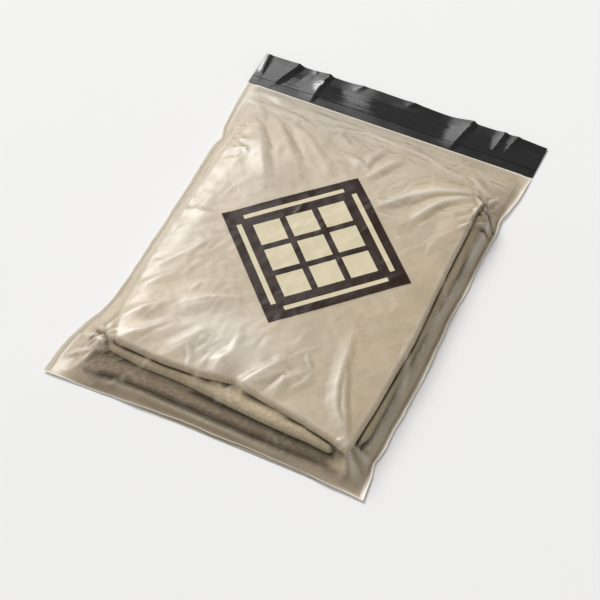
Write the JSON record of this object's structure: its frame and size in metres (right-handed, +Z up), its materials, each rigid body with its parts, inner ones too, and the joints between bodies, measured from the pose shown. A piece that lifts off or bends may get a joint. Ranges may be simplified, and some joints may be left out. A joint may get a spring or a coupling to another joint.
{
  "type": "filled poly mailer bag",
  "caption": "Semi-clear film mailing pouch holding a folded garment, lying flat, with a dark closing flap, release liner and a lozenge print on its front.",
  "frame": {"origin": "middle of the footprint, on the flat underside of the back panel", "axes": "+Z up out of the printed front, +Y from the folded bottom edge towards the flap"},
  "size_m": [0.254, 0.366, 0.0236],
  "materials": {
    "pouch_film": "glossy semi-clear film, creased",
    "garment_cloth": "soft knitted cotton",
    "flap_film": "satin dark film",
    "glue": "smooth hot-melt glue",
    "liner_film": "very glossy dark film",
    "light_ink": "flexographic ink",
    "dark_ink": "flexographic ink"
  },
  "bodies": {
    "root": {"film_pouch": "pouch_film", "folded_garment": "garment_cloth", "closure_flap": "flap_film", "adhesive_strip": "glue", "release_liner": "liner_film", "print_base": "light_ink", "print_lattice": "dark_ink"}
  },
  "joints": []
}
